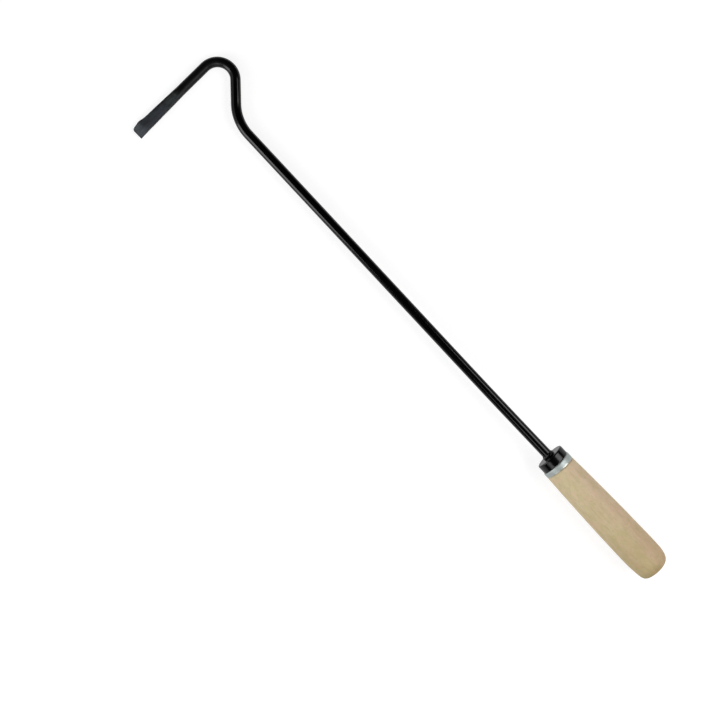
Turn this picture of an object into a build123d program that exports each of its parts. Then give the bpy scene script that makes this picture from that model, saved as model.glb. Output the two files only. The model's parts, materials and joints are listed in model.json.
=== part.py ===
from build123d import *

import os
from math import cos, radians, sin, tan

# A hive tool: a long hooked steel bar in a turned wooden handle. Millimetres, +Z up.
#
# The pieces are worked out in the tool's own frame: the shank lies along X, with X = 0 on the collar's
# front face and +X towards the butt of the handle, and the hook lies in the XY plane. The rear end, from
# the collar on, is made along X too and then turned by the slight set of the shank. The whole tool is then
# laid down as it comes to rest, with the arm of the hook and the belly of the handle on the floor.

# Round bar, over its paint.
bar_diameter = 8.6
bar_radius = bar_diameter / 2

# Hook, along the bar's centre line. Lengths run between the corners where its straight runs would meet.
shank_length = 389.2
first_turn = 41.6
first_bend_radius = 40.0
slant_length = 71.2
hook_turn = 133.1
hook_bend_radius = 15.4
arm_length = 116.6

# Set of the shank, a slight turn ahead of the collar that a forged bar is left with.
set_turn = 0.504
set_ahead = 75.0
set_spread = 60.0

# Blade, pressed flat from the end of the arm.
blade_length = 52.0
press_length = 30.0
blade_width = 11.0
pressed_width = 10.1
pressed_thickness = 2.5
edge_thickness = 0.5
bevel_length = 8.5
blade_outer_corner = 2.8
blade_inner_corner = 0.6
ear_radius = 5.0
ear_proud = 0.9
ear_from_edge = 8.6
plan_clearance = 0.1

# Stop collar, a ring welded to the bar.
collar_length = 8.0
collar_diameter = 26.0
collar_front_round = 1.0
collar_rear_round = 0.5
weld_leg_on_bar = 3.2
weld_leg_on_collar = 1.0
weld_crown = 0.25

# Ferrule, a shallow cup over the front of the handle.
ferrule_depth = 5.5
ferrule_diameter = 27.2
ferrule_front_wall = 1.2
ferrule_side_wall = 1.0
ferrule_round = 0.8

# Handle, turned wood. Stations are measured from its shoulder, at the ferrule's rim.
handle_length = 119.0
belly_station = 46.5
belly_diameter = 30.2
swell_station = 90.5
swell_diameter = 31.4
corner_station = 109.0
corner_diameter = 30.6
butt_flat_diameter = 14.0

# Tang, the end of the bar inside the handle: four flats that grow out of the round, down to a point. They
# are cut by a tapered square, which stands clear of the bar at the collar and meets it where the tang starts.
tang_straight = 10.0
tang_length = 84.0
tang_end_width = 4.0
tang_point_length = 6.0
tang_point_width = 1.6
tang_square_at_collar = 10.0

# Places that follow from the dimensions above.
ferrule_front = collar_length
neck_front = ferrule_front + ferrule_front_wall
shoulder = ferrule_front + ferrule_depth
butt = shoulder + handle_length
tang_start = neck_front + tang_straight
tang_end = tang_start + tang_length
set_radius = set_spread / 2 / tan(radians(set_turn) / 2)
rear = Pos(-set_ahead) * Rot(0, 0, set_turn) * Pos(set_ahead)
slant_heading = radians(180 - first_turn)
arm_heading = radians(180 - first_turn + hook_turn)
arm_direction = Vector(cos(arm_heading), sin(arm_heading), 0)
first_corner = Vector(-shank_length, 0, 0)
hook_corner = first_corner + Vector(cos(slant_heading), sin(slant_heading), 0) * slant_length
blade_start = hook_corner + arm_direction * (arm_length - blade_length)


def section_at(station):
    """Plane across the bar at a station along local X: its own x runs along local Y, its own y up."""
    return Plane(origin=(station, 0, 0), x_dir=(0, 1, 0), z_dir=(1, 0, 0))


def turned(profile):
    """Solid of revolution about the bar's axis, from a closed outline above it."""
    return revolve(make_face(profile), Axis.X)


def at_rear(x, z=0):
    """Place of a point above the bar's axis, once the rear end is turned by the set."""
    return (rear * Pos(x, 0, z)).position


def bent_bar():
    """Round bar from the collar's front face to the start of the blade, with its set and its two bends."""
    route = FilletPolyline(
        at_rear(0),
        (-set_ahead, 0, 0),
        first_corner,
        hook_corner,
        blade_start,
        radius=[set_radius, first_bend_radius, hook_bend_radius],
    )
    end = Plane(origin=route @ 0, z_dir=route % 0)
    return sweep(end * Circle(bar_radius), path=route)


def tang():
    """Round bar behind the collar's front face, cut by four flats that close in on it, then by its point."""
    bar = extrude(section_at(0) * Circle(bar_radius), tang_end + tang_point_length)
    widths = {
        0: tang_square_at_collar,
        tang_start: bar_diameter,
        tang_end: tang_end_width,
        tang_end + tang_point_length: tang_point_width,
    }
    squares = [section_at(station) * Rectangle(width, width) for station, width in widths.items()]
    return bar & loft(squares, ruled=True)


def pressing_profile():
    """Side view of the pressed blade: two die curves down to nearly parallel faces, and a bevel on top."""
    half = pressed_thickness / 2
    bevel_start = blade_length - bevel_length
    with BuildLine(Plane.XZ) as outline:
        RadiusArc((0, bar_radius), (press_length, half), radius=-die_radius())
        Line((press_length, half), (bevel_start, half))
        Line((bevel_start, half), (blade_length, edge_thickness - half))
        Line((blade_length, edge_thickness - half), (blade_length, -half))
        Line((blade_length, -half), (press_length, -half))
        RadiusArc((press_length, -half), (0, -bar_radius), radius=-die_radius())
        Line((0, -bar_radius), (0, bar_radius))
    return make_face(outline.line)


def die_radius():
    """Radius of the die curve that starts on the round bar and ends level with the pressed face."""
    drop = bar_radius - pressed_thickness / 2
    return (press_length**2 + drop**2) / (2 * drop)


def blade():
    """Pressed end of the arm, along local X from the round bar to its edge, with its outer side at -Y."""
    widths = {0: bar_diameter, press_length: pressed_width, blade_length: blade_width}
    spread = loft([section_at(x) * Ellipse(width / 2, bar_radius) for x, width in widths.items()])
    ear_centre = blade_width / 2 + ear_proud - ear_radius
    ear = Pos(blade_length - ear_from_edge, -ear_centre) * Circle(ear_radius)
    spread += extrude(ear, bar_radius, both=True)
    pressed = spread & extrude(pressing_profile(), blade_width, both=True)
    return pressed & extrude(edge_plan(), bar_radius, both=True)


def edge_plan():
    """Outline seen from above that rounds the two corners of the edge and is clear of the blade elsewhere."""
    end = Pos(blade_length / 2) * Rectangle(blade_length, blade_width + 2 * plan_clearance)
    corners = end.vertices().group_by(Axis.X)[-1].sort_by(Axis.Y)
    end = fillet(corners[0], blade_outer_corner)
    end = fillet(end.vertices().group_by(Axis.X)[-1].sort_by(Axis.Y)[-1], blade_inner_corner)
    rest_length = blade_length - blade_outer_corner - plan_clearance
    return end + Pos(rest_length / 2) * Rectangle(rest_length, 2 * blade_width)


def hook_bar():
    """The whole steel bar: tang, shank, hook and blade in one piece."""
    arm_frame = Plane(origin=blade_start, x_dir=arm_direction, z_dir=(0, 0, 1))
    return bent_bar() + rear * tang() + arm_frame * blade()


def stop_collar():
    """Thick ring on the bar, with its rims rounded."""
    ring = Cylinder(collar_diameter / 2, collar_length) - Cylinder(bar_radius, collar_length)
    rims = ring.edges().filter_by(GeomType.CIRCLE).group_by(SortBy.RADIUS)[-1].sort_by(Axis.Z)
    ring = fillet(rims[0], collar_front_round)
    rims = ring.edges().filter_by(GeomType.CIRCLE).group_by(SortBy.RADIUS)[-1].sort_by(Axis.Z)
    ring = fillet(rims[-1], collar_rear_round)
    return section_at(collar_length / 2) * ring


def weld_fillet():
    """Bead in the corner between the bar and the collar's front face, with a slight crown."""
    toe_on_bar = Vector(-weld_leg_on_bar, bar_radius)
    toe_on_collar = Vector(0, bar_radius + weld_leg_on_collar)
    outward = Vector(-weld_leg_on_collar, weld_leg_on_bar).normalized()
    crown = (toe_on_bar + toe_on_collar) / 2 + outward * weld_crown
    root = Vector(0, bar_radius)
    return turned([ThreePointArc(toe_on_bar, crown, toe_on_collar), Polyline(toe_on_collar, root, toe_on_bar)])


def ferrule():
    """Cup with a hole for the bar in its front wall."""
    outer = ferrule_diameter / 2
    inner = outer - ferrule_side_wall
    off_corner = ferrule_round * (1 - cos(radians(45)))
    front_round = ThreePointArc(
        (ferrule_front, outer - ferrule_round),
        (ferrule_front + off_corner, outer - off_corner),
        (ferrule_front + ferrule_round, outer),
    )
    rest = Polyline(
        (ferrule_front + ferrule_round, outer),
        (shoulder, outer),
        (shoulder, inner),
        (neck_front, inner),
        (neck_front, bar_radius),
        (ferrule_front, bar_radius),
        (ferrule_front, outer - ferrule_round),
    )
    return turned([front_round, rest])


def handle(bar):
    """Turned grip: a neck inside the ferrule, a long swell and a rounded butt, with the tang's socket."""
    neck_radius = ferrule_diameter / 2 - ferrule_side_wall
    flat_radius = butt_flat_diameter / 2
    corner = shoulder + corner_station
    side = ThreePointArc(
        (shoulder, ferrule_diameter / 2),
        (shoulder + belly_station, belly_diameter / 2),
        (shoulder + swell_station, swell_diameter / 2),
    )
    taper = TangentArc(side @ 1, (corner, corner_diameter / 2), tangent=side % 1)
    rounding = EllipticalCenterArc(
        (corner, flat_radius),
        butt - corner,
        corner_diameter / 2 - flat_radius,
        arc_size=90,
    )
    ends = Polyline(
        (butt, flat_radius),
        (butt, 0),
        (neck_front, 0),
        (neck_front, neck_radius),
        (shoulder, neck_radius),
        (shoulder, ferrule_diameter / 2),
    )
    return rear * turned([side, taper, rounding, ends]) - bar


def floor():
    """Floor under the resting tool, in the tool's frame: it holds the arm's underside and the belly's."""
    arm_foot = blade_start - Vector(0, 0, bar_radius)
    belly_foot = at_rear(shoulder + belly_station, -belly_diameter / 2)
    normal = arm_direction.cross(belly_foot - arm_foot)
    return Plane(origin=belly_foot, x_dir=(1, 0, 0), z_dir=normal)


def laid_down(pieces):
    """All pieces on the floor at Z = 0, with the origin under the middle of their shared box."""
    ground = floor()
    resting = {name: ground.to_local_coords(piece) for name, piece in pieces.items()}
    box = Compound(list(resting.values())).bounding_box()
    centre = box.center()
    to_origin = Location((-centre.X, -centre.Y, -box.min.Z))
    return {name: to_origin * piece for name, piece in resting.items()}


bar = hook_bar()
pieces = laid_down(
    {
        "hook_bar": bar,
        "stop_collar": rear * stop_collar(),
        "weld_fillet": rear * weld_fillet(),
        "ferrule": rear * ferrule(),
        "handle": handle(bar),
    }
)

os.makedirs("parts", exist_ok=True)
for name, piece in pieces.items():
    export_step(piece, f"parts/{name}.step")
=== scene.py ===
import json
from math import cos, pi, radians, sin, tan

import bmesh
import bpy
import numpy as np
from mathutils import Matrix


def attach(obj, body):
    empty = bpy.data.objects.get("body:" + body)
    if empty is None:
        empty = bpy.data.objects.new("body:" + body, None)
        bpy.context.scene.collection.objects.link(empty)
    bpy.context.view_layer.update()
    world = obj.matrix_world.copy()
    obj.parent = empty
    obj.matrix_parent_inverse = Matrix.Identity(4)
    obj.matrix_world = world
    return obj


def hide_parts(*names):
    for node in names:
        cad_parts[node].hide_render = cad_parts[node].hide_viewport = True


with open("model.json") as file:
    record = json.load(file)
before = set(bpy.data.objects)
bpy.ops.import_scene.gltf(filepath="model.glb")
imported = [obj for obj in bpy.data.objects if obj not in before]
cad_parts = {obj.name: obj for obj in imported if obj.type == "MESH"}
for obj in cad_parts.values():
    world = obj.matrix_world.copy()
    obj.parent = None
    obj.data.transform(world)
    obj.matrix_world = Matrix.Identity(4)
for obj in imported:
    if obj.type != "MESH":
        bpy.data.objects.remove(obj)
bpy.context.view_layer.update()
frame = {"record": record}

# A long hooked hive tool: forged steel bar, welded stop collar, zinc plated ferrule, turned wooden handle.
# Metres throughout. Each piece is worked out in the tool's own frame, where the shank lies along X, X = 0
# is the collar's front face, +X runs to the butt and the hook lies in the XY plane. in_place() then lays
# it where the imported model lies.
MM = 0.001

# Bar and hook, along the bar's centre line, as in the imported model.
BAR_RADIUS = 4.3 * MM
SHANK_LENGTH = 389.2 * MM
FIRST_TURN = radians(41.6)
FIRST_BEND_RADIUS = 40.0 * MM
SLANT_LENGTH = 71.2 * MM
HOOK_TURN = radians(133.1)
HOOK_BEND_RADIUS = 15.4 * MM
ARM_LENGTH = 116.6 * MM

# Share by which the bar is wider across from the first bend to the edge of the blade.
FORGED_SPREAD = 0.03

# Blade, pressed from the end of the arm.
BLADE_LENGTH = 52.0 * MM
PRESS_LENGTH = 30.0 * MM
HALF_WIDTH_PRESSED = 5.05 * MM
HALF_WIDTH_EDGE = 5.5 * MM
HALF_THICKNESS = 1.25 * MM
EDGE_THICKNESS = 0.5 * MM
BEVEL_LENGTH = 8.5 * MM
OUTER_CORNER = 2.8 * MM
INNER_CORNER = 0.6 * MM
EAR_PROUD = 0.85 * MM
EAR_SPREAD = 2.6 * MM
EAR_FROM_EDGE = 8.6 * MM
PRESSED_ROUNDING = 0.45 * MM
BEVEL_ROUNDING = 0.9 * MM
HAMMER_MARKS = 0.05 * MM
TOP_MARKS_LEAN = 0.3 * MM
UNDER_MARKS_LEAN = -0.4 * MM
SIDE_WAVE = 0.06 * MM

# Collar. A slant is the distance along X for each unit across.
COLLAR_LENGTH = 8.0 * MM
COLLAR_RADIUS = 13.0 * MM
COLLAR_FRONT_ROUNDING = 1.3 * MM
COLLAR_REAR_ROUNDING = 0.7 * MM
COLLAR_SLANT = 0.035
COLLAR_OFF_CENTRE = 0.18 * MM

# Weld. Its root is buried by a little, so that no gap shows.
WELD_ON_BAR = 3.2 * MM
WELD_ON_COLLAR = 1.0 * MM
WELD_SIZE = 0.9
WELD_SIZE_DRIFT = 0.1
WELD_CROWN = 0.12 * MM
WELD_RIPPLES = 20
RIPPLE_RISE = 0.28 * MM
RIPPLE_POWER = 0.6
CROWN_AHEAD = 0.5
CROWN_OUT = 0.85
ROOT_IN_COLLAR = 0.05 * MM
ROOT_IN_BAR = 0.97

# Ferrule.
FERRULE_DEPTH = 5.5 * MM
FERRULE_RADIUS = 13.6 * MM
FERRULE_FRONT_WALL = 1.2 * MM
FERRULE_SIDE_WALL = 1.0 * MM
FERRULE_FRONT_ROUNDING = 1.1 * MM
FERRULE_RIM_ROUNDING = 0.35 * MM
RIM_SLANT = 0.025
RIM_SLANT_FADES = 14.0 * MM

# Handle.
HANDLE_LENGTH = 119.0 * MM
BELLY_RADIUS = 15.12 * MM
BELLY_STATION = 46.5 * MM
SWELL_RADIUS = 15.72 * MM
SWELL_STATION = 90.5 * MM
CORNER_RADIUS = 15.25 * MM
CORNER_LENGTH = 11.4 * MM
BUTT_FLAT_RADIUS = 6.9 * MM
SHOULDER_CHAMFER = 0.45 * MM
SHOULDER_CHAMFER_OVER = 0.9 * MM
CORNER_POWER = 2 / 3
CORNER_LEAN = 0.42
BUTT_FLAT_LEAN = 0.16
SIDE_LEAN = 0.25 * MM
SANDING = 0.035 * MM
SANDING_FADES = 5 * MM

# Tang inside the handle. Its flats stand clear of the round bar at the collar.
TANG_STRAIGHT = 10.0 * MM
TANG_LENGTH = 84.0 * MM
TANG_POINT_LENGTH = 6.0 * MM
TANG_END_HALF = 2.0 * MM
TANG_POINT_HALF = 0.8 * MM
TANG_CLEAR_HALF = 1.2 * BAR_RADIUS
TANG_ROUNDING = 0.3 * MM

# Slight set of the shank ahead of the collar: its slope, its middle and the run that it turns over.
SET_SLOPE = tan(radians(0.504))
SET_MIDDLE = -75.0 * MM
SET_OVER = 60.0 * MM

# Places that follow from the sizes above. SHANK_MIDDLE is between the set and the first bend.
NECK_FRONT = COLLAR_LENGTH + FERRULE_FRONT_WALL
SHOULDER = COLLAR_LENGTH + FERRULE_DEPTH
BUTT = SHOULDER + HANDLE_LENGTH
TANG_START = NECK_FRONT + TANG_STRAIGHT
TANG_END = TANG_START + TANG_LENGTH
TANG_POINT = TANG_END + TANG_POINT_LENGTH
FIRST_TANGENT = FIRST_BEND_RADIUS * tan(FIRST_TURN / 2)
HOOK_TANGENT = HOOK_BEND_RADIUS * tan(HOOK_TURN / 2)
SHANK_MIDDLE = (SET_MIDDLE - SET_OVER / 2 - SHANK_LENGTH + FIRST_TANGENT) / 2


# ---- The tool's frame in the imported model

def unit(vector):
    """The vector at length 1."""
    return vector / np.linalg.norm(vector)


mounts = {mount["name"]: mount for mount in frame["record"]["mounts"]}
ALONG = -unit(np.array(mounts["shank"]["axis"]))
ACROSS = unit(np.cross(mounts["hook_bend"]["axis"], ALONG))
UPRIGHT = np.cross(ALONG, ACROSS)
TOOL_AXES = np.array([ALONG, ACROSS, UPRIGHT])
ORIGIN = np.array(mounts["shank"]["pos_m"]) - SHANK_MIDDLE * ALONG


def in_place(points):
    """Points of the tool's frame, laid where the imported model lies.

    A point is the origin + x along + y across + z upright."""
    return ORIGIN + points @ TOOL_AXES


def set_off(points):
    """Points of the straight tool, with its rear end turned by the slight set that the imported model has.

    The offset across is the slope times a ramp. With u the share of the run w that has gone by, the ramp
    is the parabola w/2 u^2 over the run, and the straight line w (u - 1/2) behind it."""
    u = np.clip((points[..., 0] - SET_MIDDLE) / SET_OVER + 0.5, 0, None)
    ramp = np.where(u < 1, 0.5 * u**2, u - 0.5) * SET_OVER
    bent = points.copy()
    bent[..., 1] += SET_SLOPE * ramp
    return bent


# ---- Curves that shapes are made of

def smooth_step(low, high, x):
    """0 below low and 1 above high, and 3 u^2 - 2 u^3 between them, where u is the share of the way."""
    share = np.clip((x - low) / (high - low), 0, 1)
    return share * share * (3 - 2 * share)


def soft_min(a, b, width):
    """The lesser of a and b, less a parabola where they are within one width, which rounds the corner."""
    near = np.clip(0.5 + 0.5 * (b - a) / width, 0, 1)
    return b + (a - b) * near - width * near * (1 - near)


def soft_clip(value, low, high, width):
    """Value held between low and high, with both corners rounded over a width."""
    return -soft_min(-soft_min(value, high, width), -low, width)


def wander(x, wavelength, seed, waves=5, tallest=1.5):
    """Slow uneven drift of about +-1, with phases and detunings from the seed.

    It is the sum over n = 1 to waves of sin(2 pi n x / wavelength + phase) / n, with each n detuned by up
    to a quarter, over about the tallest that such a sum gets."""
    rng = np.random.default_rng(seed)
    phase = rng.uniform(0, 2 * pi, waves)
    order = np.arange(1, waves + 1) * rng.uniform(0.8, 1.25, waves)
    x = np.asarray(x)[..., None]
    return (np.sin(x * (2 * pi / wavelength) * order + phase) / order).sum(-1) / tallest


def parabola(x, knots, heights):
    """Height at x of the parabola through three points, which a long flat arc can't be told from."""
    return np.polyval(np.polyfit(knots, heights, 2), x)


def outline(corners, step, corner_points=9):
    """Closed profile through corners of (x, radius, rounding), as an array of (x, radius).

    Each corner is cut by the quadratic curve (1-t)^2 a + 2t(1-t) corner + t^2 b, where a and b lie one
    rounding away along its two sides, and the straight runs between are divided into steps."""
    corners = np.array(corners)
    place, rounding = corners[:, :2], corners[:, 2:]
    before = np.roll(place, 1, 0) - place
    after = np.roll(place, -1, 0) - place
    start = place + rounding * before / np.linalg.norm(before, axis=1, keepdims=True)
    end = place + rounding * after / np.linalg.norm(after, axis=1, keepdims=True)
    t = np.linspace(0, 1, corner_points)[:, None]
    pieces = []
    for a, corner, b, following, size in zip(start, place, end, np.roll(start, -1, 0), rounding):
        if size > 0:
            pieces.append((1 - t) ** 2 * a + 2 * t * (1 - t) * corner + t**2 * b)
        else:
            pieces.append(corner[None, :])
        divisions = max(2, int(np.linalg.norm(following - b) / step))
        share = np.linspace(0, 1, divisions, endpoint=False)[1:, None]
        pieces.append(b * (1 - share) + following * share)
    return np.concatenate(pieces)


# ---- Meshes from grids

MERGE_DISTANCE = 1e-6


def in_scene(name, data):
    """A new object of a mesh, light or camera, in the scene."""
    thing = bpy.data.objects.new(name, data)
    bpy.context.scene.collection.objects.link(thing)
    return thing


def closed_piece(name, points, lay, finish, loop=False):
    """Closed mesh over a grid of points in the tool's frame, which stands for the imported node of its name.

    Columns run round the piece and rows along it, and with loop the last row joins the first. Rows whose
    points meet close the ends once doubles are merged. lay, a vector for each point, is kept as the
    attribute that the finishes follow. The faces are turned outwards by the sign of the mesh's volume,
    which is the sum of (a x b) . c + (a x c) . d over faces with the corners a, b, c and d."""
    rows, columns = points.shape[:2]
    row = np.arange(rows if loop else rows - 1)[:, None] * columns
    next_row = (row + columns) % (rows * columns)
    column = np.arange(columns)[None, :]
    next_column = (column + 1) % columns
    corners = (row + column, row + next_column, next_row + next_column, next_row + column)
    faces = np.stack(corners, -1).reshape(-1, 4)
    placed = in_place(set_off(points.reshape(-1, 3)))
    a, b, c, d = (placed[faces[:, corner]] for corner in range(4))
    if (np.cross(a, b) * c).sum() + (np.cross(a, c) * d).sum() < 0:
        faces = faces[:, ::-1]
    mesh = bpy.data.meshes.new(name + "_mesh")
    mesh.from_pydata(placed.tolist(), [], faces.tolist())
    lay_attribute = mesh.attributes.new("lay", "FLOAT_VECTOR", "POINT")
    lay_attribute.data.foreach_set("vector", lay.astype(np.float32).ravel())
    merged = bmesh.new()
    merged.from_mesh(mesh)
    bmesh.ops.remove_doubles(merged, verts=merged.verts, dist=MERGE_DISTANCE)
    merged.to_mesh(mesh)
    merged.free()
    mesh.polygons.foreach_set("use_smooth", [True] * len(mesh.polygons))
    mesh.materials.append(finish)
    piece = in_scene(name + "_look", mesh)
    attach(piece, "root")
    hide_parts(name)


def round_points(x, radius, angle):
    """Points at x, at a radius from the tool's X axis, at an angle from +Y towards +Z."""
    return np.stack(np.broadcast_arrays(x, radius * np.cos(angle), radius * np.sin(angle)), -1)


def round_angles(columns):
    """Angles of a ring's columns, as a row."""
    return np.linspace(0, 2 * pi, columns, endpoint=False)[None, :]


# ---- The bar

# Distances from the tang's point at which the bar's runs start and end, and its headings there.
RUNS = np.cumsum([
    0,
    TANG_POINT,
    SHANK_LENGTH - FIRST_TANGENT,
    FIRST_BEND_RADIUS * FIRST_TURN,
    SLANT_LENGTH - FIRST_TANGENT - HOOK_TANGENT,
    HOOK_BEND_RADIUS * HOOK_TURN,
    ARM_LENGTH - HOOK_TANGENT - BLADE_LENGTH,
    BLADE_LENGTH,
])
FIRST_BEND_AT = RUNS[2]
SLANT_AT = RUNS[3]
HOOK_BEND_AT = RUNS[4]
BLADE_AT = RUNS[6]
EDGE_AT = RUNS[7]
SHANK_HEADING = pi
SLANT_HEADING = SHANK_HEADING - FIRST_TURN
ARM_HEADING = SLANT_HEADING + HOOK_TURN
HEADINGS = np.repeat([SHANK_HEADING, SLANT_HEADING, ARM_HEADING], [3, 2, 3])

# Rows along the tang, shank, first bend, slant, hook bend, arm and blade, then on the blade's corners.
RUN_ROWS = (40, 130, 48, 10, 64, 14, 150)
CORNER_ROWS = 18
LEAST_ROW_GAP = 0.1 * MM


def centre_line(distance, steps=8000):
    """Place and heading of the bar's centre line at distances from the tang's point.

    The heading turns evenly along each bend, and the place is the running sum of steps along the heading."""
    fine = np.linspace(0, EDGE_AT, steps)
    heading = np.interp(fine, RUNS, HEADINGS)
    step = fine[1]
    middle = (heading[1:] + heading[:-1]) / 2
    x = TANG_POINT + np.concatenate([[0], np.cumsum(np.cos(middle)) * step])
    y = np.concatenate([[0], np.cumsum(np.sin(middle)) * step])
    return np.interp(distance, fine, x), np.interp(distance, fine, y), np.interp(distance, RUNS, HEADINGS)


def bar_rows():
    """Distances from the tang's point: far apart on straight runs, close on bends, closest at the edge.

    On the blade's corners they go on by the sine of even angles. The last one is there twice, for the ring
    that folds shut."""
    runs = [np.linspace(a, b, n, endpoint=False) for a, b, n in zip(RUNS[:-1], RUNS[1:], RUN_ROWS)]
    body = np.concatenate(runs)
    corner = EDGE_AT - OUTER_CORNER
    corner_rows = corner + OUTER_CORNER * np.sin(np.linspace(0, pi / 2, CORNER_ROWS))
    return np.concatenate([body[body < corner - LEAST_ROW_GAP], corner_rows, corner_rows[-1:]])


def blade_limits(u, across):
    """Underside and top of the pressed blade, u metres past its start, from the middle of the bar.

    Both die curves are parabolas that end level: thickness/2 + drop (1 - u / press length)^2. The bevel is
    a straight ramp on top, from the pressed face down to the edge. The faces keep shallow hammer marks
    that fade in with the pressing, and lean a little as across goes from -1 to 1."""
    drop = BAR_RADIUS - HALF_THICKNESS
    pressed = HALF_THICKNESS + drop * (np.clip(PRESS_LENGTH - u, 0, None) / PRESS_LENGTH) ** 2
    marks = HAMMER_MARKS * smooth_step(0, 0.5 * PRESS_LENGTH, u)
    top = pressed + marks * wander(u + TOP_MARKS_LEAN * across, wavelength=19 * MM, seed=3)
    under = pressed + marks * wander(u + UNDER_MARKS_LEAN * across, wavelength=23 * MM, seed=4)
    ramp = (BLADE_LENGTH - u) / BEVEL_LENGTH
    bevel = (EDGE_THICKNESS - HALF_THICKNESS) + (2 * HALF_THICKNESS - EDGE_THICKNESS) * ramp
    return -under, soft_min(top, bevel, BEVEL_ROUNDING)


def blade_half_widths(u):
    """Half widths of the blade on its outer and inner sides, u metres past its start.

    The sides spread on a parabola and waver a little inwards. An ear swells out of the outer one by
    proud / (1 + |d|^3), where d is the distance from it over its spread. Each corner is a quarter round:
    less its size times 1 - sqrt(1 - share^2)."""
    spread = parabola(
        np.clip(u, 0, None),
        [0, PRESS_LENGTH, BLADE_LENGTH],
        [BAR_RADIUS, HALF_WIDTH_PRESSED, HALF_WIDTH_EDGE],
    )
    from_ear = (u - BLADE_LENGTH + EAR_FROM_EDGE) / EAR_SPREAD
    ear = EAR_PROUD / (1 + np.abs(from_ear) ** 3)
    wave = SIDE_WAVE * smooth_step(0, PRESS_LENGTH, u)
    outer = spread + ear + wave * (wander(u, wavelength=17 * MM, seed=5) - 1)
    inner = spread + wave * (wander(u, wavelength=21 * MM, seed=6) - 1)

    def cornered(half, size):
        share = np.clip((u - BLADE_LENGTH + size) / size, 0, 1)
        return half - size * (1 - np.sqrt(1 - share**2))

    return cornered(outer, OUTER_CORNER), cornered(inner, INNER_CORNER)


def bar_surface(columns=128):
    """Grid of the whole steel bar, and its straightened lay (x, y, z), with +y on the hook's inner side.

    A ring is (half width cos a, middle + radius sin a), held between limits: the blade's two faces, or the
    four flats of the tang. It stands across the centre line at each row. The first row is drawn in to a
    point, and the last one folds shut on the straight line from side to side."""
    distance = bar_rows()
    x, y, heading = centre_line(distance)
    angle = round_angles(columns)
    u = (distance - BLADE_AT)[:, None]
    outer, inner = blade_half_widths(u)
    forged = 1 + FORGED_SPREAD * smooth_step(FIRST_BEND_AT, SLANT_AT, distance)[:, None]
    side = np.where(np.cos(angle) > 0, inner, outer) * np.cos(angle) * forged
    low, high = blade_limits(u, np.cos(angle))
    middle = np.where(u > 0, (low + high) / 2, 0)
    up = middle + soft_clip(BAR_RADIUS * np.sin(angle), low - middle, high - middle, PRESSED_ROUNDING)
    straight_x = TANG_POINT - distance[:, None]
    flat = np.interp(
        straight_x,
        [0, TANG_START, TANG_END, TANG_POINT],
        [TANG_CLEAR_HALF, BAR_RADIUS, TANG_END_HALF, TANG_POINT_HALF],
    )
    side = np.where(u < 0, soft_clip(side, -flat, flat, TANG_ROUNDING), side)
    up = np.where(u < 0, soft_clip(up, -flat, flat, TANG_ROUNDING), up)
    side[0] = 0
    up[0] = 0
    inner_share = (1 + np.cos(angle[0])) / 2
    up[-1] = up[-2, 0] * inner_share + up[-2, columns // 2] * (1 - inner_share)
    points = np.stack([
        x[:, None] - np.sin(heading)[:, None] * side,
        y[:, None] + np.cos(heading)[:, None] * side,
        up,
    ], -1)
    lay = np.stack(np.broadcast_arrays(straight_x, side, up), -1)
    return points, lay


# ---- Collar, weld and ferrule

def turned_surface(profile, columns=160):
    """Grid of a closed profile of (x, radius) carried once round the tool's X axis."""
    return round_points(profile[:, :1], profile[:, 1:], round_angles(columns))


def collar_surface():
    """Ring with softened rims, set slightly out of square and off centre: x - slant y, then y + offset."""
    corners = [
        (0, BAR_RADIUS, 0),
        (0, COLLAR_RADIUS, COLLAR_FRONT_ROUNDING),
        (COLLAR_LENGTH, COLLAR_RADIUS, COLLAR_REAR_ROUNDING),
        (COLLAR_LENGTH, BAR_RADIUS, 0),
    ]
    points = turned_surface(outline(corners, step=0.5 * MM))
    points[..., 0] -= COLLAR_SLANT * points[..., 1]
    points[..., 1] += COLLAR_OFF_CENTRE
    return points


def weld_surface(columns=264, rows=11):
    """Bead in the corner of bar and collar: a straight face from leg to leg, with a crown of sin(pi share).

    The crown rises by |sin(ripples a / 2)|^power, which gives each ripple a round back and a sharp valley,
    and a slow drift makes the bead wider and narrower round the bar."""
    angle = round_angles(columns)
    ripple = np.abs(np.sin(angle * WELD_RIPPLES / 2)) ** RIPPLE_POWER
    size = WELD_SIZE + WELD_SIZE_DRIFT * wander(np.cos(angle), wavelength=2.2, seed=9)
    share = np.linspace(0, 1, rows)[:, None]
    crown = np.sin(pi * share) * (WELD_CROWN + RIPPLE_RISE * ripple)
    on_bar = WELD_ON_BAR * size
    on_collar = WELD_ON_COLLAR * size
    x = -on_bar * (1 - share) - crown * CROWN_AHEAD
    radius = BAR_RADIUS + on_collar * share + crown * CROWN_OUT
    ones = np.ones_like(angle)
    x = np.concatenate([x, ROOT_IN_COLLAR * ones])
    radius = np.concatenate([radius, BAR_RADIUS * ROOT_IN_BAR * ones])
    return round_points(x, radius, np.broadcast_to(angle, x.shape))


def ferrule_surface():
    """Pressed cup with a rounded front corner and a rim turned in a little on the wood.

    It is pushed on crooked: x - slant y, where the slant goes from the collar's at its front face to the
    opposite one at its rim, so its band is wider on one side."""
    inside = FERRULE_RADIUS - FERRULE_SIDE_WALL
    corners = [
        (COLLAR_LENGTH, BAR_RADIUS, 0),
        (COLLAR_LENGTH, FERRULE_RADIUS, FERRULE_FRONT_ROUNDING),
        (SHOULDER, FERRULE_RADIUS, FERRULE_RIM_ROUNDING),
        (SHOULDER, inside, 0),
        (NECK_FRONT, inside, 0),
        (NECK_FRONT, BAR_RADIUS, 0),
    ]
    points = turned_surface(outline(corners, step=0.4 * MM))
    share = (points[..., 0] - COLLAR_LENGTH) / FERRULE_DEPTH
    points[..., 0] -= (COLLAR_SLANT * (1 - share) - RIM_SLANT * share) * points[..., 1]
    return points


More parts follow.
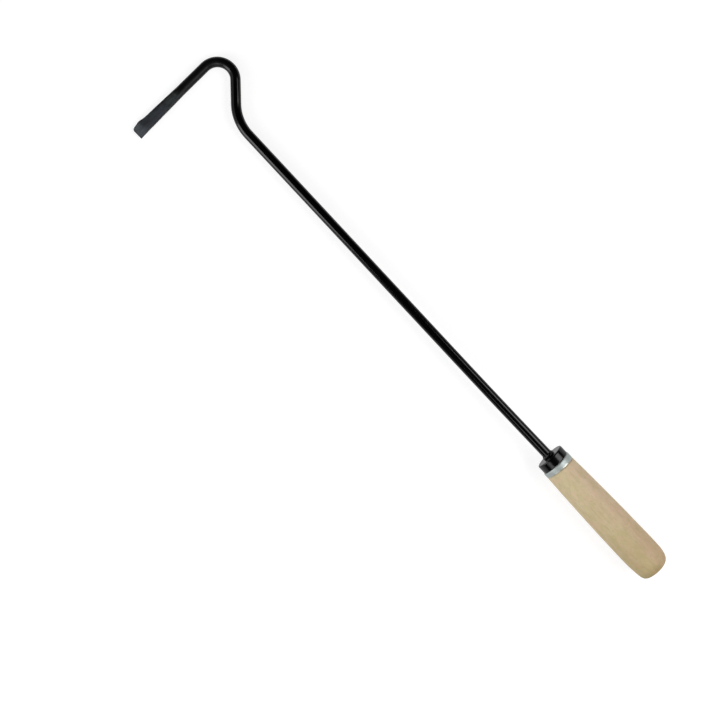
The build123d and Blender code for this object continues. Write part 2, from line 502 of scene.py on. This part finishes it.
# ---- Handle

# (x, radius) from the bottom of the socket to the shoulder. The socket stands clear of the tang's edges.
NECK_RADIUS = FERRULE_RADIUS - FERRULE_SIDE_WALL
SOCKET_AND_NECK = np.array([
    [TANG_POINT + 1 * MM, 0],
    [TANG_POINT, 1.2 * MM],
    [TANG_END, 2.9 * MM],
    [TANG_START + 0.5 * TANG_LENGTH, 4.15 * MM],
    [NECK_FRONT, BAR_RADIUS + 0.05 * MM],
    [NECK_FRONT, 0.5 * NECK_RADIUS],
    [NECK_FRONT, NECK_RADIUS],
    [SHOULDER, NECK_RADIUS],
])

# Rows along the handle's side, round its corner and over the flat of its butt.
SIDE_ROWS = 90
BUTT_CORNER_ROWS = 28
BUTT_FLAT_ROWS = 12


def grip_radius(station, lean):
    """Radius of the grip before its corner, at a station from the shoulder.

    It is a parabola through shoulder, belly and swell, less the square of the share of the way from the
    swell to the corner times the drop there, and less a small chamfer at the shoulder. The drop is smaller
    on the side that lean, from -1 to 1, points to, and the share is held under 1.5."""
    body = parabola(
        station,
        [0, BELLY_STATION, SWELL_STATION],
        [FERRULE_RADIUS, BELLY_RADIUS, SWELL_RADIUS],
    )
    past_swell = (station - SWELL_STATION) / (HANDLE_LENGTH - CORNER_LENGTH - SWELL_STATION)
    body = body - (SWELL_RADIUS - CORNER_RADIUS - SIDE_LEAN * lean) * np.clip(past_swell, 0, 1.5) ** 2
    return body - SHOULDER_CHAMFER * (1 - smooth_step(0, SHOULDER_CHAMFER_OVER, station))


def handle_surface(columns=192):
    """Grid of the turned grip, from the bottom of its socket out over the neck and side to the butt.

    At the corner the radius beyond the butt's flat is multiplied by cos^(2/3) t while the station goes on
    by sin^(2/3) t, which is squarer than a circle. Hand sanding left the corner longer on one side, and
    the ring strays a few hundredths inwards from round. The shoulder follows the ferrule's crooked rim:
    x + slant y, where the slant fades out behind it."""
    angle = round_angles(columns)
    lean = np.cos(angle)
    ones = np.ones_like(angle)
    corner_length = CORNER_LENGTH * (1 + CORNER_LEAN * lean)
    side = np.linspace(0, 1, SIDE_ROWS)[:, None] * (HANDLE_LENGTH - corner_length)
    turn = np.linspace(0, pi / 2, BUTT_CORNER_ROWS)[1:, None]
    corner = HANDLE_LENGTH - corner_length + corner_length * np.sin(turn) ** CORNER_POWER
    station = np.concatenate([side, corner])
    rounding = np.concatenate([np.ones_like(side), np.abs(np.cos(turn)) ** CORNER_POWER * ones])
    flat_radius = BUTT_FLAT_RADIUS * (1 - BUTT_FLAT_LEAN * lean)
    radius = flat_radius + (grip_radius(station, lean) - flat_radius) * rounding
    stray = wander(station, wavelength=61 * MM, seed=11)
    stray = stray + wander(lean * 10 * MM + 0.1 * station, wavelength=31 * MM, seed=12)
    radius = radius + SANDING * (stray - 2) * smooth_step(0, SANDING_FADES, station)
    flat = np.linspace(1, 0, BUTT_FLAT_ROWS)[1:, None] * radius[-1:]
    x = np.concatenate([SOCKET_AND_NECK[:, :1] * ones, SHOULDER + station, BUTT * np.ones_like(flat)])
    radius = np.concatenate([SOCKET_AND_NECK[:, 1:] * ones, radius, flat])
    points = round_points(x, radius, np.broadcast_to(angle, x.shape))
    near_rim = 1 - smooth_step(0, RIM_SLANT_FADES, points[..., 0] - SHOULDER)
    points[..., 0] += RIM_SLANT * near_rim * points[..., 1]
    return points


# ---- Shader maths

class Value:
    """A shader value. Sums, products and the like with numbers or other values add Math nodes."""

    def __init__(self, finish, link):
        self.finish = finish
        self.link = link

    def math(self, operation, *others):
        """A Math node on the value and others."""
        inputs = dict(enumerate((self,) + others))
        return self.finish.add("ShaderNodeMath", inputs, operation=operation)

    def __add__(self, other):
        return self.math("ADD", other)

    def __mul__(self, other):
        return self.math("MULTIPLY", other)

    def __sub__(self, other):
        return self.math("SUBTRACT", other)

    def __rsub__(self, other):
        return self.finish.add("ShaderNodeMath", {0: other, 1: self}, operation="SUBTRACT")

    __radd__ = __add__
    __rmul__ = __mul__

    def step(self, low, high, to_low=0.0, to_high=1.0):
        """Smooth step of the value from low to high, between two results."""
        inputs = {"Value": self, "From Min": low, "From Max": high, "To Min": to_low, "To Max": to_high}
        return self.finish.add("ShaderNodeMapRange", inputs, interpolation_type="SMOOTHSTEP")

    def part(self, axis):
        """One component of a vector, 0 for X."""
        return self.finish.add("ShaderNodeSeparateXYZ", {0: self}, output=axis)

    def scaled(self, x, y, z):
        """The vector times a factor for each axis."""
        return self.finish.add("ShaderNodeVectorMath", {0: self, 1: (x, y, z)}, operation="MULTIPLY")

    def noise(self, scale, detail=2.0, roughness=0.5, distortion=0.0):
        """Noise of about 0 to 1 at this place, with scale waves to a metre."""
        inputs = {
            "Vector": self,
            "Scale": scale,
            "Detail": detail,
            "Roughness": roughness,
            "Distortion": distortion,
        }
        return self.finish.add("ShaderNodeTexNoise", inputs)


class Finish:
    """A node material that is being written."""

    def __init__(self, data):
        data.use_nodes = True
        self.data = data
        self.tree = data.node_tree
        self.tree.nodes.clear()

    def add(self, kind, inputs, output=0, **settings):
        """A node with its settings, then its sockets' values or links. Gives one output as a Value."""
        node = self.tree.nodes.new(kind)
        for name, setting in settings.items():
            setattr(node, name, setting)
        for key, value in inputs.items():
            if isinstance(value, Value):
                self.tree.links.new(value.link, node.inputs[key])
            else:
                node.inputs[key].default_value = value
        return Value(self, node.outputs[output])

    def lay(self):
        """The piece's straightened place, in metres."""
        return self.add("ShaderNodeAttribute", {}, output="Vector", attribute_name="lay")

    def mix(self, factor, first, second, blend_type="MIX"):
        """Colour between two colours."""
        inputs = {0: factor, 6: first, 7: second}
        return self.add("ShaderNodeMix", inputs, output=2, data_type="RGBA", blend_type=blend_type)

    def ray(self, kind):
        """1 for light paths of a kind, such as Is Camera Ray, and 0 for the rest."""
        return self.add("ShaderNodeLightPath", {}, output=kind)

    def bump(self, height, distance):
        """Normal bent by a height, where a height of 1 is a distance in metres."""
        return self.add("ShaderNodeBump", {"Height": height, "Distance": distance, "Strength": 1.0})

    def principled(self, **inputs):
        """The surface, with underscores for the spaces in its sockets' names."""
        inputs = {name.replace("_", " "): value for name, value in inputs.items()}
        return self.add("ShaderNodeBsdfPrincipled", inputs)

    def output(self, surface, kind="ShaderNodeOutputMaterial"):
        """Links the surface to the output, and gives the finished material."""
        node = self.tree.nodes.new(kind)
        self.tree.links.new(surface.link, node.inputs["Surface"])
        return self.data


def finish_named(name):
    """An empty node material to write."""
    return Finish(bpy.data.materials.new(name))


# ---- Finishes
# Colours are linear red, green and blue, with an alpha of 1. A noise's middle is 0.5.

PAINT_BLACK = (0.0008, 0.0008, 0.0009, 1)
PAINT_SATIN = (0.0025, 0.0026, 0.0025, 1)
DULL_OUTER_SIDE = (0.020, 0.023, 0.022, 1)
# Painted shade: the dull blade's inner side is darker than its outer side just past the blade's start.
DULL_INNER_PAINTED_SHADE = (0.010, 0.013, 0.012, 1)
EDGE_OUTER_SIDE = (0.013, 0.015, 0.018, 1)
EDGE_INNER_SIDE = (0.036, 0.040, 0.048, 1)
STEEL_BLUEING = (0.028, 0.031, 0.047, 1)
FORGE_SCALE = (0.050, 0.058, 0.062, 1)
BEVEL_GREY = (0.070, 0.080, 0.090, 1)
PAINT_IOR = 1.36
PAINT_RELIEF = 0.02 * MM

ZINC_DARK = (0.40, 0.455, 0.45, 1)
ZINC_PALE = (0.53, 0.57, 0.54, 1)
ZINC_CLOUD = (0.41, 0.43, 0.44, 1)
# Painted glint: the paler, yellower colour given to the ferrule's rim.
ZINC_RIM_GLINT = (0.56, 0.56, 0.48, 1)
ZINC_RELIEF = 0.012 * MM

WOOD_STRAW = (0.645, 0.543, 0.320, 1)
WOOD_PINK = (0.722, 0.546, 0.368, 1)
WOOD_BAND = (0.60, 0.475, 0.295, 1)
WOOD_STREAK = (0.52, 0.39, 0.23, 1)
WOOD_FIBRE = (0.74, 0.63, 0.44, 1)
WOOD_MOTTLE_DARK = (0.52, 0.44, 0.22, 1)
WOOD_MOTTLE_PALE = (0.80, 0.65, 0.50, 1)
WOOD_BLUSH = (0.75, 0.51, 0.37, 1)
WOOD_FLECK = (0.42, 0.28, 0.16, 1)
TINT_TO_BUTT = (0.78, 0.735, 0.645, 1)
TINT_END_GRAIN = (0.78, 0.77, 0.70, 1)
WOOD_IOR = 1.4
WOOD_RELIEF = 0.03 * MM


def black_gloss_paint():
    """Thin glossy black paint with a faint orange peel. It turns satin round the hook's bend, and on the
    blade it is a dull blue grey over forge scale, palest on the bevel, and darker on its inner side just
    past the blade's start as painted shade."""
    f = finish_named("black_gloss_paint")
    lay = f.lay()
    x = lay.part(0)
    y = lay.part(1)
    bend = TANG_POINT - HOOK_BEND_AT
    blade = TANG_POINT - BLADE_AT
    bevel = blade - (BLADE_LENGTH - BEVEL_LENGTH)

    patches = lay.noise(160.0, detail=3.0)
    scale = lay.scaled(0.55, 1.9, 1.9).noise(220.0, detail=5.0, roughness=0.6, distortion=0.3)
    scale = scale.step(0.41, 0.59)
    blueing = lay.noise(75.0).step(0.4, 0.62)
    peel = lay.noise(1400.0)
    pits = lay.noise(5200.0, detail=3.0, roughness=0.6)

    on_arm = x.step(bend + 15 * MM, bend - 35 * MM)
    kept_paint = y.step(-2.2 * MM, -3.6 * MM) * x.step(bevel + 12 * MM, bevel + 26 * MM)
    worn = x + (patches - 0.5) * (12 * MM) - y * 1.2
    on_blade = worn.step(blade, blade - 9 * MM) * (1 - kept_paint * 0.8)
    to_edge = x.step(blade - 14 * MM, blade - 26 * MM)
    on_bevel = (x + (patches - 0.5) * (6 * MM)).step(bevel + 3 * MM, bevel - 2.5 * MM)
    inner = y.step(-2.5 * MM, 3 * MM)
    near_weld = x.step(-7 * MM, 0.5 * MM)

    # Painted shade: the inner side of the dull blade is darker behind the blade's start.
    dull = f.mix(inner, DULL_OUTER_SIDE, DULL_INNER_PAINTED_SHADE)
    dull = f.mix(to_edge, dull, f.mix(inner, EDGE_OUTER_SIDE, EDGE_INNER_SIDE))
    dull = f.mix(blueing * to_edge * 0.4, dull, STEEL_BLUEING)
    dull = f.mix(scale * 0.5, dull, FORGE_SCALE)
    dull = f.mix(on_bevel * (0.45 + scale * 0.4), dull, BEVEL_GREY)
    colour = f.mix(on_blade, f.mix(on_arm, PAINT_BLACK, PAINT_SATIN), dull)
    roughness = 0.11 + patches * 0.06 + near_weld * 0.05
    roughness = roughness + on_arm * (0.16 + patches * 0.14) + on_blade * (0.16 + scale * 0.1)
    height = peel * (1 - on_blade) * 0.35 + scale * on_blade * 0.6 + pits * on_arm * 0.4
    normal = f.bump(height, PAINT_RELIEF)
    return f.output(f.principled(Base_Color=colour, Roughness=roughness, Normal=normal, IOR=PAINT_IOR))


def zinc_plate():
    """Bright zinc plating: soft spangle, fine drawing lines round the cup, a cool cast, and a rim that is
    smoother, with a paler, yellower colour painted on it as a glint."""
    f = finish_named("zinc_plate")
    lay = f.lay()
    spangle = lay.noise(420.0)
    lines = lay.scaled(1.0, 0.08, 0.08).noise(5200.0, detail=3.0)
    cloud = lay.noise(130.0).step(0.35, 0.65)
    rim = lay.part(0).step(SHOULDER - 1.5 * MM, SHOULDER - 0.4 * MM)
    colour = f.mix(spangle, ZINC_DARK, ZINC_PALE)
    colour = f.mix(cloud * 0.5, colour, ZINC_CLOUD)
    # Painted glint: the rim's colour is mixed towards a paler yellow. Its lower roughness is the real
    # smoother rim.
    colour = f.mix(rim * 0.5, colour, ZINC_RIM_GLINT)
    roughness = 0.48 + spangle * 0.16 - rim * 0.16
    normal = f.bump(lines * 0.6 + spangle * 0.4, ZINC_RELIEF)
    return f.output(f.principled(Base_Color=colour, Metallic=1.0, Roughness=roughness, Normal=normal))


def pale_wood():
    """Pale close-grained wood: a pinkish and a straw coloured side, broad soft bands, streaks and fibre
    along the grain, cloudy mottling, small darker flecks, and a warmer, darker end where the grain turns."""
    f = finish_named("pale_wood")
    lay = f.lay()
    x = lay.part(0)

    bands = lay.scaled(1.0, 4.0, 6.0).noise(18.0, distortion=0.8)
    streaks = lay.scaled(1.0, 12.0, 12.0).noise(45.0, detail=4.0, roughness=0.62, distortion=0.5)
    fibre = lay.scaled(1.0, 14.0, 14.0).noise(210.0, detail=3.0, roughness=0.6)
    mottling = lay.scaled(1.0, 1.9, 1.9).noise(130.0, distortion=0.5)
    blush = lay.scaled(1.0, 1.7, 1.7).noise(95.0, detail=1.0)
    flecks = lay.scaled(1.0, 5.0, 5.0).noise(330.0, detail=1.0).step(0.62, 0.72)
    pink_side = (lay.part(1) + (bands - 0.5) * (26 * MM)).step(-5 * MM, 6 * MM)
    to_butt = x.step(BUTT - 118 * MM, BUTT + 8 * MM)
    end_grain = x.step(BUTT - 12 * MM, BUTT) * (0.6 + streaks * 0.6)

    colour = f.mix(pink_side, WOOD_STRAW, WOOD_PINK)
    colour = f.mix(bands.step(0.35, 0.65) * 0.4, colour, WOOD_BAND)
    colour = f.mix(streaks.step(0.45, 0.7) * 0.4, colour, WOOD_STREAK)
    colour = f.mix(fibre.step(0.45, 0.7) * 0.25, colour, WOOD_FIBRE)
    colour = f.mix(mottling.step(0.5, 0.68) * 0.32, colour, WOOD_MOTTLE_DARK)
    colour = f.mix(mottling.step(0.48, 0.32) * 0.2, colour, WOOD_MOTTLE_PALE)
    colour = f.mix(blush.step(0.5, 0.68) * 0.35, colour, WOOD_BLUSH)
    colour = f.mix(flecks * 0.4, colour, WOOD_FLECK)
    colour = f.mix(to_butt, colour, TINT_TO_BUTT, "MULTIPLY")
    colour = f.mix(end_grain, colour, TINT_END_GRAIN, "MULTIPLY")
    roughness = 0.55 + streaks * 0.12
    normal = f.bump(streaks * 0.5 + fibre * 0.4 - flecks * 0.4, WOOD_RELIEF)
    return f.output(f.principled(Base_Color=colour, Roughness=roughness, Normal=normal, IOR=WOOD_IOR))


# ---- The tool

black = black_gloss_paint()
bar_points, bar_lay = bar_surface()
closed_piece("hook_bar", bar_points, bar_lay, black)
collar_points = collar_surface()
closed_piece("stop_collar", collar_points, collar_points, black, loop=True)
weld_points = weld_surface()
closed_piece("weld_fillet", weld_points, weld_points, black, loop=True)
ferrule_points = ferrule_surface()
closed_piece("ferrule", ferrule_points, ferrule_points, zinc_plate(), loop=True)
handle_points = handle_surface()
closed_piece("handle", handle_points, handle_points, pale_wood())


# ---- Floor, light and camera

# In the tool's frame: the camera's right, up and place, and the place that the lights are aimed at.
VIEW_RIGHT = np.array([0.68145, 0.73186, 0.0])
VIEW_UP = np.array([-0.73186, 0.68145, 0.0])
STRAIGHT_UP = np.array([0.0, 0.0, 1.0])
CAMERA_PLACE = np.array([-0.1693, -0.06125, 0.959])
LENS_MM = 56.4
SENSOR_MM = 36.0
LIT_PLACE = np.array([-0.16, 0.0, 0.0])

# The floor glows a little less near the tool, so that its shadow shows there, and less to a gloss.
WHITE = (1, 1, 1, 1)
FLOOR_PALE = (0.8, 0.8, 0.8, 1)
FLOOR_SHADED = (0.3, 0.3, 0.3, 1)
FLOOR_HALF = 4.0
GLOW_NEAR = 0.82
GLOW_NEAR_WITHIN = 0.4
GLOW_FULL_FROM = 1.2
GLOW_LESS_TO_GLOSS = 0.25

# The world's light, and the band over the horizon that a gloss sees, by the height of a direction.
WORLD_LIGHT = 0.01
BAND_LEVEL = 0.8
BAND_FULL_BELOW = 0.02
BAND_ENDS_AT = 0.07


def seen_directly(f):
    """1 for rays from the camera, from a gloss or through glass, and 0 for light that falls on things."""
    seen = f.ray("Is Camera Ray").math("MAXIMUM", f.ray("Is Glossy Ray"))
    return seen.math("MAXIMUM", f.ray("Is Transmission Ray"))


def floor_finish():
    """Matt pale floor that looks white, or a little dimmer in a gloss, and keeps a light shadow."""
    f = finish_named("studio_floor")
    plain = f.add("ShaderNodeBsdfDiffuse", {"Color": FLOOR_PALE})
    shaded = f.add("ShaderNodeBsdfDiffuse", {"Color": FLOOR_SHADED})
    place = f.add("ShaderNodeTexCoord", {}, output="Object")
    away = f.add("ShaderNodeVectorMath", {0: place}, output="Value", operation="LENGTH")
    level = away.step(GLOW_NEAR_WITHIN, GLOW_FULL_FROM, GLOW_NEAR, 1.0)
    level = level - f.ray("Is Glossy Ray") * GLOW_LESS_TO_GLOSS
    glow = f.add("ShaderNodeEmission", {"Color": WHITE, "Strength": level})
    white = f.add("ShaderNodeAddShader", {0: shaded, 1: glow})
    return f.output(f.add("ShaderNodeMixShader", {0: seen_directly(f), 1: plain, 2: white}))


def make_floor():
    """Large flat floor at Z = 0."""
    h = FLOOR_HALF
    mesh = bpy.data.meshes.new("floor_mesh")
    mesh.from_pydata([(-h, -h, 0), (h, -h, 0), (h, h, 0), (-h, h, 0)], [], [(0, 1, 2, 3)])
    mesh.materials.append(floor_finish())
    in_scene("floor", mesh)


def make_world():
    """White to the camera. A gloss sees a band of it over the horizon, and as light it is nearly dark."""
    world = bpy.data.worlds.new("studio")
    bpy.context.scene.world = world
    f = Finish(world)
    height = f.add("ShaderNodeTexCoord", {}, output="Generated").part(2)
    band = height.step(BAND_ENDS_AT, BAND_FULL_BELOW) * seen_directly(f) * BAND_LEVEL
    shown = f.ray("Is Camera Ray").math("MAXIMUM", band)
    strength = shown * (1 - WORLD_LIGHT) + WORLD_LIGHT
    inputs = {"Color": WHITE, "Strength": strength}
    f.output(f.add("ShaderNodeBackground", inputs), "ShaderNodeOutputWorld")


def make_softbox(name, toward, off_zenith, distance, width, height, level):
    """Area light at a heading from the view's right, an angle off the zenith, aimed at the tool.

    Angles are in degrees. level is its radiance, where 1 is white, so its power is level x pi x area."""
    heading = cos(radians(toward)) * VIEW_RIGHT + sin(radians(toward)) * VIEW_UP
    direction = sin(radians(off_zenith)) * heading + cos(radians(off_zenith)) * STRAIGHT_UP
    light = bpy.data.lights.new(name, "AREA")
    light.shape = "RECTANGLE"
    light.size = width
    light.size_y = height
    light.energy = level * pi * width * height
    back = unit(direction)
    right = unit(np.cross(STRAIGHT_UP, back))
    place_looking(in_scene(name, light), LIT_PLACE + distance * direction, right, np.cross(back, right))


def place_looking(thing, place, right, up):
    """Puts a camera or light at a place of the tool's frame, with its own right and up there."""
    axes = np.array([right, up, np.cross(right, up)]) @ TOOL_AXES
    matrix = np.eye(4)
    matrix[:3, :3] = axes.T
    matrix[:3, 3] = in_place(place)
    thing.matrix_world = Matrix(matrix.tolist())


def make_camera():
    """Camera straight above the tool."""
    camera = bpy.data.cameras.new("camera")
    camera.lens = LENS_MM
    camera.sensor_width = SENSOR_MM
    view = in_scene("camera", camera)
    place_looking(view, CAMERA_PLACE, unit(VIEW_RIGHT), unit(VIEW_UP))
    bpy.context.scene.camera = view


make_floor()
make_world()
make_softbox("softbox_left", toward=199, off_zenith=68, distance=1.45, width=0.7, height=1.02, level=5.2)
make_softbox("softbox_right", toward=-2.5, off_zenith=46, distance=1.1, width=1.1, height=0.56, level=4.6)
make_softbox("softbox_front", toward=258, off_zenith=49, distance=2.4, width=1.25, height=1.25, level=2.9)
make_softbox("softbox_side", toward=168, off_zenith=66, distance=1.5, width=0.8, height=0.9, level=0.7)
make_camera()
bpy.context.scene.view_settings.view_transform = "Standard"
